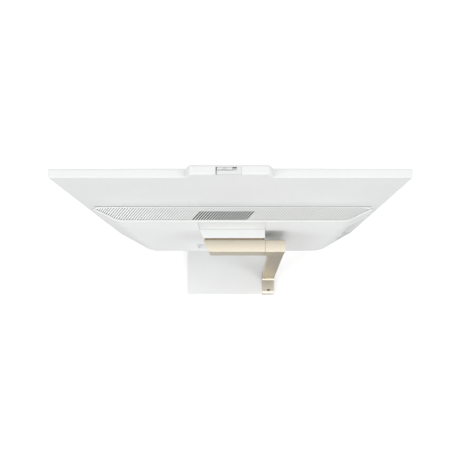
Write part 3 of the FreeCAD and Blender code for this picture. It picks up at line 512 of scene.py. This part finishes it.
lathe(bm, [(0.0, -0.6), (0.45, -0.62), (0.78, -0.95), (0.8, -9.5), (0.0, -9.5)], (DC_X, PORT_Y1, REAR_Z), "y", 24)
finish_piece("rear_socket_shells", bm, HEAD, "port_metal", bevel=0.00008)

bm = bmesh.new()
for s in (-1, 1):
    x = LAN_X + s * 5.0
    vs = add_box(bm, x - 1.3, x + 1.3, PORT_Y1 - 1.5, PORT_Y1 + 0.5, REAR_Z - 5.9, REAR_Z - 4.3)
finish_piece("link_lights", bm, HEAD, "lens_glass", bevel=0.0003, segments=3)

# ------------------------------------------------------------- side sockets
SIDE_X, SIDE_Y = -227.4, -24.0
bm = bmesh.new()
for cz in (181.0, 160.0):
    for off in (-3.5, -1.0, 1.0, 3.5):
        strip(bm, [(SIDE_X + 11.8, SIDE_Y - 0.26, cz + off), (SIDE_X + 4.0, SIDE_Y - 0.24, cz + off),
                   (SIDE_X + 2.6, SIDE_Y + 0.02, cz + off), (SIDE_X + 1.4, SIDE_Y - 0.2, cz + off)],
              1.0, 0.12, (0, 0, 1))
    for off in (-2.8, -1.4, 0.0, 1.4, 2.8):
        strip(bm, [(SIDE_X + 11.8, SIDE_Y - 0.25, cz + off), (SIDE_X + 8.0, SIDE_Y - 0.24, cz + off),
                   (SIDE_X + 7.2, SIDE_Y - 0.05, cz + off), (SIDE_X + 6.6, SIDE_Y - 0.24, cz + off)],
              0.6, 0.1, (0, 0, 1))
for i in range(12):
    z = 137.25 + i * 0.5
    for s in (-1, 1):
        strip(bm, [(SIDE_X + 6.6, SIDE_Y + s * 0.37, z), (SIDE_X + 1.9, SIDE_Y + s * 0.37, z),
                   (SIDE_X + 1.5, SIDE_Y + s * 0.32, z)], 0.24, 0.05, (0, 0, 1))
lathe(bm, [(1.78, 13.0), (1.78, 0.3), (1.95, -0.15), (2.6, -0.2), (2.85, 0.0), (2.85, 0.4), (2.0, 0.4), (2.0, 13.0)],
      (SIDE_X, SIDE_Y, 121.0), "x")
finish_piece("side_socket_contacts", bm, HEAD, "copper", GOLD_PIN)

bm = bmesh.new()
for cz in (181.0, 160.0):
    for s in (-1, 1):
        for off in (-3.2, 3.2):
            strip(bm, [(SIDE_X + 9.5, SIDE_Y + s * 2.74, cz + off), (SIDE_X + 4.6, SIDE_Y + s * 2.4, cz + off),
                       (SIDE_X + 3.9, SIDE_Y + s * 2.25, cz + off), (SIDE_X + 3.0, SIDE_Y + s * 2.6, cz + off)],
                  1.8, 0.16, (0, 0, 1))
    # rolled mouth
    loop_o = rounded_loop(SIDE_Y - 3.5, SIDE_Y + 3.5, cz - 7.2, cz + 7.2, 0.5)
    loop_i = rounded_loop(SIDE_Y - 2.7, SIDE_Y + 2.7, cz - 6.35, cz + 6.35, 0.3)
    rows = []
    for loop, x in ((loop_o, SIDE_X + 0.2), (loop_i, SIDE_X + 0.2), (loop_i, SIDE_X - 0.3), (loop_o, SIDE_X - 0.3)):
        rows.append([bm.verts.new((x / 1000.0, y / 1000.0, z / 1000.0)) for y, z in loop])
    for a, b in zip(rows, rows[1:] + rows[:1]):
        for k in range(len(loop_o)):
            k2 = (k + 1) % len(loop_o)
            bm.faces.new((a[k], a[k2], b[k2], b[k]))
finish_piece("side_socket_shells", bm, HEAD, "port_metal", bevel=0.00008)

# ---------------------------------------------------------- vents and grilles
LEDGE_Z, LEDGE_FALL, PANEL_REAR_Y = 268.0, 0.36, -33.8


def ledge_z(y, drop):
    return LEDGE_Z - LEDGE_FALL * (y - PANEL_REAR_Y) - drop


# Dark duct under the open slots: a sealed foam frame with a fine black screen.
bm = bmesh.new()
X0, X1, Y0, Y1 = -47.0, 84.0, -28.6, -11.9
for y in [Y0 + 0.9 * i for i in range(int((Y1 - Y0) / 0.9) + 1)]:
    strip(bm, [(X0, y, ledge_z(y, 4.2)), (X1, y, ledge_z(y, 4.2))], 0.42, 0.3, (0, 1, 0))
for i in range(int((X1 - X0) / 1.1) + 1):
    x = X0 + 1.1 * i
    strip(bm, [(x, Y0, ledge_z(Y0, 4.4)), (x, Y1, ledge_z(Y1, 4.4))], 0.42, 0.3, (1, 0, 0))
for x in (X0 - 1.2, X1 + 1.2):
    strip(bm, [(x, Y0 - 1, ledge_z(Y0 - 1, 4.7)), (x, Y1, ledge_z(Y1, 4.7))], 2.4, 1.6, (1, 0, 0))
for y in (Y0 - 0.9,):
    strip(bm, [(X0 - 2, y, ledge_z(y, 4.7)), (X1 + 2, y, ledge_z(y, 4.7))], 1.6, 1.6, (0, 1, 0))
finish_piece("exhaust_screen", bm, HEAD, "black_plastic")

# Black louvre insert: one sleeve lines each open slot, and its thin black lip round each slot's mouth is painted
# shade that widens the dark of the slots.
bm = bmesh.new()
LEAN = math.radians(47.0)
for i in range(-10, 10):
    xc = 18.05 + (i + 0.5) * 5.12
    for yc, yr in ((-25.55, -12.3),):
        rows = []
        for grow, drop in ((0.0, 4.1), (0.0, -0.02), (0.24, -0.02), (0.2, -0.1), (-0.22, -0.1), (-0.22, 4.1)):
            half = (0.88 + grow) / math.cos(LEAN)
            row = []
            for sx, y in ((-1, yc - grow), (1, yc - grow), (1, yr + grow), (-1, yr + grow)):
                x = xc + (y + 18.6) * math.tan(LEAN) + sx * half
                row.append(bm.verts.new((x / 1000.0, y / 1000.0, ledge_z(y, drop) / 1000.0)))
            rows.append(row)
        for a, b in zip(rows, rows[1:] + rows[:1]):
            for k in range(4):
                bm.faces.new((a[k], a[(k + 1) % 4], b[(k + 1) % 4], b[k]))
finish_piece("exhaust_louvres", bm, HEAD, "black_plastic")

# Soft dark seal where the ledge meets the thin housing; it also stands as painted shade along that joint.
bm = bmesh.new()
for sx in (-1, 1):
    strip(bm, [(sx * 0.02, -33.5, 268.0), (sx * 120.0, -33.5, 268.0), (sx * 252.0, -33.5, 268.0)],
          0.62, 0.3, (0, 1, 0))
finish_piece("ledge_shade_seal", bm, HEAD, "rubber_pad", rubber("shade_seal_rubber", (0.11, 0.11, 0.11)), bevel=0.00008)

# Woven dust screens behind the air intake and the speaker slots.
bm = bmesh.new()
for x0, x1, y0, y1 in ((-142.0, 142.0, -27.0, -9.2), (157.0, 216.0, -29.0, -15.2), (-216.0, -157.0, -29.0, -15.2)):
    nx, ny = int((x1 - x0) / 1.3), int((y1 - y0) / 1.3)
    for i in range(nx + 1):
        x = x0 + (x1 - x0) * i / nx
        strip(bm, [(x, y0, 74.62), (x, y1, 74.62)], 0.34, 0.2, (1, 0, 0))
    for j in range(ny + 1):
        y = y0 + (y1 - y0) * j / ny
        strip(bm, [(x0, y, 74.84), (x1, y, 74.84)], 0.34, 0.2, (0, 1, 0))
finish_piece("intake_screen", bm, HEAD, "black_plastic")

# ------------------------------------------------------------------- camera
bm = bmesh.new()
holed_plate(bm, rounded_loop(-16.9, 16.9, 400.4, 408.5, 1.6, 8), [circle(0.0, 404.5, 3.05)], -47.35, -46.25)
window = finish_piece("camera_window_plate", bm, HEAD, "window_glass", bevel=0.00012)
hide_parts("camera_window")
bm = bmesh.new()
lathe(bm, [(3.02, 0.0), (3.02, 0.55), (2.75, 0.75), (2.5, 0.72), (2.32, 0.25), (2.32, 0.0)], (0.0, -47.1, 404.5), "y", 48)
lathe(bm, [(2.05, 1.9), (2.05, 2.7), (1.2, 2.55), (1.1, 1.9)], (0.0, -47.1, 404.5), "y", 48)
finish_piece("camera_rings", bm, HEAD, "chip_black", smooth=False, bevel=0.00008)
bm = bmesh.new()
lathe(bm, [(0.0, -0.30), (0.55, -0.27), (1.1, -0.18), (1.6, -0.03), (2.0, 0.18), (2.28, 0.42), (2.28, 0.62), (0.0, 0.62)],
      (0.0, -47.0, 404.5), "y", 48)
finish_piece("camera_dome", bm, HEAD, "lens_glass", smooth=True)
bm = bmesh.new()
lathe(bm, [(0.0, -0.06), (0.4, -0.02), (0.55, 0.12), (0.55, 0.6), (0.0, 0.6)], (9.5, -47.33, 404.5), "y", 24)
lathe(bm, [(0.0, -0.05), (0.5, -0.02), (0.62, 0.1), (0.62, 0.6), (0.0, 0.6)], (-9.5, -47.33, 404.5), "y", 24)
finish_piece("camera_indicator", bm, HEAD, "lens_glass", smooth=True)
bm = bmesh.new()
for sx in (-38.0, 38.0):
    holed_plate(bm, circle(sx, 404.5, 0.58, 24),
                [circle(sx + 0.3 * math.cos(a), 404.5 + 0.3 * math.sin(a), 0.09, 8) for a in
                 (0.0, 1.047, 2.094, 3.1416, 4.189, 5.236)] + [circle(sx, 404.5, 0.09, 8)], -47.15, -46.9)
finish_piece("microphone_meshes", bm, HEAD, "chip_black")

# ------------------------------------------------------------------- screen
GASKET = rubber("screen_gasket", (0.012, 0.012, 0.013))
bm = bmesh.new()
band(bm, rounded_loop(-264.1, 264.1, 92.4, 390.6, 0.9, 6), rounded_loop(-263.3, 263.3, 93.2, 389.8, 0.6, 6),
     -47.22, -46.6, -0.12)
finish_piece("screen_gasket", bm, HEAD, "rubber_pad", GASKET)
bm = bmesh.new()
holed_plate(bm, rounded_loop(-260.6, 260.6, 96.6, 388.4, 0.4, 4), [], -47.14, -47.06)
finish_piece("picture_area", bm, HEAD, "display_face", screen_face("picture_area", 0.006), bevel=0.00003)

# --------------------------------------------------------------------- stand
FOOT = rubber("foot_rubber", (0.02, 0.02, 0.021))
bm = bmesh.new()
for x0, x1, y0, y1 in ((-60, -20, -94, -86), (50, 90, -94, -86), (50, 90, 86, 94), (-60, -20, 86, 94),
                       (-90, -82, 38, 50), (-90, -82, -60, -40)):
    loops = []
    for inset, z in ((0.0, 1.5), (0.0, 0.35), (0.3, 0.05), (0.9, 0.0), (1.5, 0.0), (1.7, 0.3), (2.3, 0.3),
                     (2.5, 0.0), (3.2, 0.0)):
        r = max(3.9 - inset, 0.35)
        loop = []
        for cx, cy, a0 in ((x1 - inset - r, y0 + inset + r, -90), (x1 - inset - r, y1 - inset - r, 0),
                           (x0 + inset + r, y1 - inset - r, 90), (x0 + inset + r, y0 + inset + r, 180)):
            for k in range(7):
                a = math.radians(a0 + 15.0 * k)
                loop.append((cx + r * math.cos(a), cy + r * math.sin(a)))
        loops.append([bm.verts.new((x / 1000.0, y / 1000.0, z / 1000.0)) for x, y in loop])
    for a, b in zip(loops, loops[1:]):
        n = len(a)
        for k in range(n):
            bm.faces.new((a[k], a[(k + 1) % n], b[(k + 1) % n], b[k]))
    bm.faces.new(loops[-1])
    bm.faces.new(loops[0][::-1])
feet = finish_piece("grooved_feet", bm, "stand", "rubber_pad", FOOT)
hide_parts("rubber_feet")

bm = bmesh.new()
for sx, sy in ((-74.0, 57.0), (-88.0, 57.0), (-81.0, 72.0), (-80.0, -85.0), (105.0, -85.0), (105.0, 84.0)):
    for q in (0.0, math.pi / 2):
        turn = Matrix.Translation((sx / 1000.0, sy / 1000.0, 0.0)) @ Matrix.Rotation(q + 0.3, 4, "Z")
        add_box(bm, -1.15, 1.15, -0.25, 0.25, 1.75, 2.35, turn)
    lathe(bm, [(2.3, 1.62), (2.9, 1.62), (2.9, 1.5), (2.3, 1.5)], (sx, sy, 0.0), "z", 32)
finish_piece("screw_recesses", bm, "stand", "chip_black")

# Lining of the lock slot, a pressed steel sleeve in the foot.
bm = bmesh.new()
outer, inner, rows = [], [], []
for x, y in rounded_loop(-85.4, -78.6, 90.5, 93.5, 1.2, 6):
    outer.append((x, y))
for x, y in rounded_loop(-85.0, -79.0, 90.9, 93.1, 0.9, 6):
    inner.append((x, y))
top = max(v.co.z for v in NODES["stand_leg"].data.vertices
          if abs(v.co.x + 0.082) < 0.005 and abs(v.co.y - 0.092) < 0.004) * 1000.0
for loop, z in ((outer, 4.6), (outer, top - 1.1), (inner, top - 1.1), (inner, 4.9)):
    rows.append([bm.verts.new((x / 1000.0, y / 1000.0, z / 1000.0)) for x, y in loop])
for a, b in zip(rows, rows[1:]):
    for k in range(len(outer)):
        k2 = (k + 1) % len(outer)
        bm.faces.new((a[k], a[k2], b[k2], b[k]))
bm.faces.new(rows[-1])
bm.faces.new(rows[0][::-1])
finish_piece("lock_slot_sleeve", bm, "stand", "chip_black")

# Wound return spring over the power button: closed end turns, open middle.
bm = bmesh.new()
WIRE_R, COIL_R, COIL_Z0, COIL_Z1, COIL_TURNS, COIL_STEPS, WIRE_STEPS = 0.28, 2.6, 76.12, 80.72, 5.5, 220, 10
rings = []
for i in range(COIL_STEPS + 1):
    t = i / COIL_STEPS
    turn_now = t * COIL_TURNS
    end = 1.0 / COIL_TURNS
    flat = 2 * WIRE_R + 0.02
    if t < end:
        z = COIL_Z0 + flat * turn_now
    elif t > 1.0 - end:
        z = COIL_Z1 - flat * (COIL_TURNS - turn_now)
    else:
        k = (t - end) / (1.0 - 2 * end)
        z = (COIL_Z0 + flat) * (1 - k) + (COIL_Z1 - flat) * k
    a = 2 * math.pi * turn_now
    row = []
    for j in range(WIRE_STEPS):
        b = 2 * math.pi * j / WIRE_STEPS
        r = COIL_R + WIRE_R * math.cos(b)
        row.append(bm.verts.new(((240.0 + r * math.cos(a)) / 1000.0, (-40.25 + r * math.sin(a)) / 1000.0,
                                 (z + WIRE_R * math.sin(b)) / 1000.0)))
    rings.append(row)
for a, b in zip(rings, rings[1:]):
    for j in range(WIRE_STEPS):
        bm.faces.new((a[j], a[(j + 1) % WIRE_STEPS], b[(j + 1) % WIRE_STEPS], b[j]))
bm.faces.new(rings[0][::-1])
bm.faces.new(rings[-1])
coil = finish_piece("button_coil", bm, HEAD, "steel", smooth=True)
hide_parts("button_spring")
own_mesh(coil)

# Ring of light pipe and a dished cap on the power button.
bm = bmesh.new()
lathe(bm, [(0.0, 0.22), (1.6, 0.16), (2.9, 0.0), (3.4, -0.1), (3.75, 0.05), (3.9, 0.4), (3.9, 0.9), (0.0, 0.9)],
      (240.0, -40.25, 71.25), "z", 48)
finish_piece("button_cap", bm, "power_button", "white_gloss", smooth=True)
bm = bmesh.new()
lathe(bm, [(4.25, 0.0), (4.95, 0.0), (5.15, 0.25), (4.15, 0.25)], (240.0, -40.25, 71.9), "z", 48)
finish_piece("button_surround", bm, HEAD, "port_metal", smooth=False)


# -------------------------------------------------------------------- stage
def floor_material():
    m = Mat("studio_floor")
    m.color(m.mix(m.remap(m.noise(3.0, 4.0), 0.3, 0.7, 0.0, 1.0), (0.90, 0.90, 0.90), (0.92, 0.92, 0.92)))
    m.rough(m.remap(m.noise(30.0, 3.0), 0.3, 0.7, 0.7, 0.85))
    m.set(Emission_Color=(1.0, 1.0, 1.0, 1.0), Emission_Strength=0.15)
    return m.m


me = bpy.data.meshes.new("studio_floor")
bm = bmesh.new()
bmesh.ops.create_grid(bm, x_segments=8, y_segments=8, size=4.0)
bm.to_mesh(me)
bm.free()
floor = bpy.data.objects.new("studio_floor", me)
floor.location = (0, 0, -0.0002)
scene.collection.objects.link(floor)
me.materials.append(floor_material())
floor.visible_diffuse = False
floor.visible_glossy = False


# ------------------------------------------------------------------- lights
def area(name, loc, target, size, power, color=(1, 1, 1)):
    d = bpy.data.lights.new(name, "AREA")
    d.shape = "RECTANGLE"
    d.size, d.size_y = size
    d.energy = power
    d.color = color
    o = bpy.data.objects.new(name, d)
    o.location = loc
    o.rotation_euler = (Vector(target) - Vector(loc)).to_track_quat("-Z", "Y").to_euler()
    o.visible_camera = False
    scene.collection.objects.link(o)
    return o


area("softbox_top", (0.0, -0.8, 2.2), (0, 0.0, 0.1), (2.4, 0.9), 12.0)
area("softbox_rear", (0.0, 1.8, 0.75), (0, 0, 0.28), (1.2, 0.5), 9.5)
area("softbox_left", (1.6, 0.8, 0.9), (0, 0, 0.2), (0.9, 0.9), 13.0)
area("softbox_right", (-1.6, 0.8, 0.9), (0, 0, 0.2), (0.9, 0.9), 12.0)
area("softbox_front", (-0.8, -2.2, 1.4), (0, 0, 0.25), (1.8, 1.4), 6.0)


def studio_world():
    """Even light from above, dimmer from below the table's edge."""
    w = bpy.data.worlds.new("studio")
    w.use_nodes = True
    t = w.node_tree
    bg = t.nodes["Background"]
    co = t.nodes.new("ShaderNodeTexCoord")
    sep = t.nodes.new("ShaderNodeSeparateXYZ")
    ramp = t.nodes.new("ShaderNodeMapRange")
    ramp.interpolation_type = "SMOOTHSTEP"
    for i, v in enumerate((-0.45, 0.45, 0.42, 0.73)):
        ramp.inputs[i + 1].default_value = v
    t.links.new(co.outputs["Generated"], sep.inputs[0])
    t.links.new(sep.outputs[2], ramp.inputs[0])
    t.links.new(ramp.outputs[0], bg.inputs["Color"])
    return w


scene.world = studio_world()
scene.view_settings.view_transform = "Standard"
scene.view_settings.look = "None"
